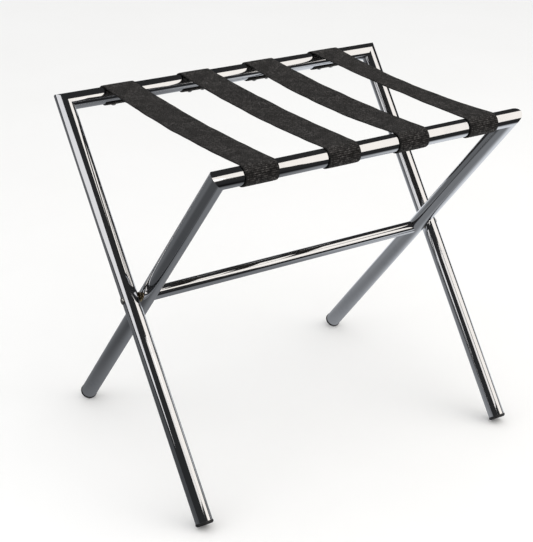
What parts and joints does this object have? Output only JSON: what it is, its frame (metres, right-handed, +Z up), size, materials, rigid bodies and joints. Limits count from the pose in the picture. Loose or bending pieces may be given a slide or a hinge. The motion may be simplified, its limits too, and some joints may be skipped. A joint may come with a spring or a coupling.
{
  "type": "folding luggage rack",
  "caption": "Folding luggage rack: crossed chromed tube frames on side pivots, joined by a cross bar, with woven webbing straps over the top rails and black foot caps.",
  "frame": {"origin": "on the floor, under the middle of the rack's overall box", "axes": "+X along the rails to the right as seen from the front, +Y from the front rail to the back rail, +Z up"},
  "size_m": [0.5036, 0.3762, 0.4559],
  "materials": {
    "chrome_tube": "bright polished chrome plate on steel tube",
    "nickel_hardware": "nickel plate, lightly handled",
    "plug_steel": "turned steel, hidden inside the cross bar",
    "spacer_brass": "dull brass",
    "foot_plastic": "fine satin moulded plastic",
    "webbing": "close-woven charcoal webbing"
  },
  "bodies": {
    "outer_frame": {"outer_rail": "chrome_tube", "outer_leg_left": "chrome_tube", "outer_leg_right": "chrome_tube", "outer_foot_left": "foot_plastic", "outer_foot_right": "foot_plastic", "back_rivets": "nickel_hardware"},
    "inner_frame": {"inner_rail": "chrome_tube", "inner_leg_left": "chrome_tube", "inner_leg_right": "chrome_tube", "inner_foot_left": "foot_plastic", "inner_foot_right": "foot_plastic", "cross_bar": "chrome_tube", "bar_insert_left": "plug_steel", "bar_insert_right": "plug_steel", "pivot_bolt_left": "nickel_hardware", "pivot_bolt_right": "nickel_hardware", "pivot_spacer_left": "spacer_brass", "pivot_spacer_right": "spacer_brass", "front_rivets": "nickel_hardware"},
    "strap_backs": {"strap_1_back": "webbing", "strap_2_back": "webbing", "strap_3_back": "webbing", "strap_4_back": "webbing"},
    "strap_fronts": {"strap_1_front": "webbing", "strap_2_front": "webbing", "strap_3_front": "webbing", "strap_4_front": "webbing"}
  },
  "joints": [
    {"name": "fold", "type": "hinge", "parent": "outer_frame", "child": "inner_frame", "pos_m": [0, 0, 0.23608], "axis": [-1, 0, 0], "range_deg": [0, 70], "deforming": ["strap_1_back", "strap_2_back", "strap_3_back", "strap_4_back", "strap_1_front", "strap_2_front", "strap_3_front", "strap_4_front"]},
    {"name": "back_slack", "type": "hinge", "parent": "outer_frame", "child": "strap_backs", "pos_m": [0, 0.162, 0.443], "axis": [1, 0, 0], "range_deg": [0, 53.1]},
    {"name": "front_slack", "type": "hinge", "parent": "inner_frame", "child": "strap_fronts", "pos_m": [0, -0.162, 0.443], "axis": [-1, 0, 0], "range_deg": [0, 53.1]}
  ],
  "couplings": [
    {"joint": "back_slack", "follows": "fold", "ratio": 0.75857},
    {"joint": "front_slack", "follows": "fold", "ratio": 0.75857}
  ]
}
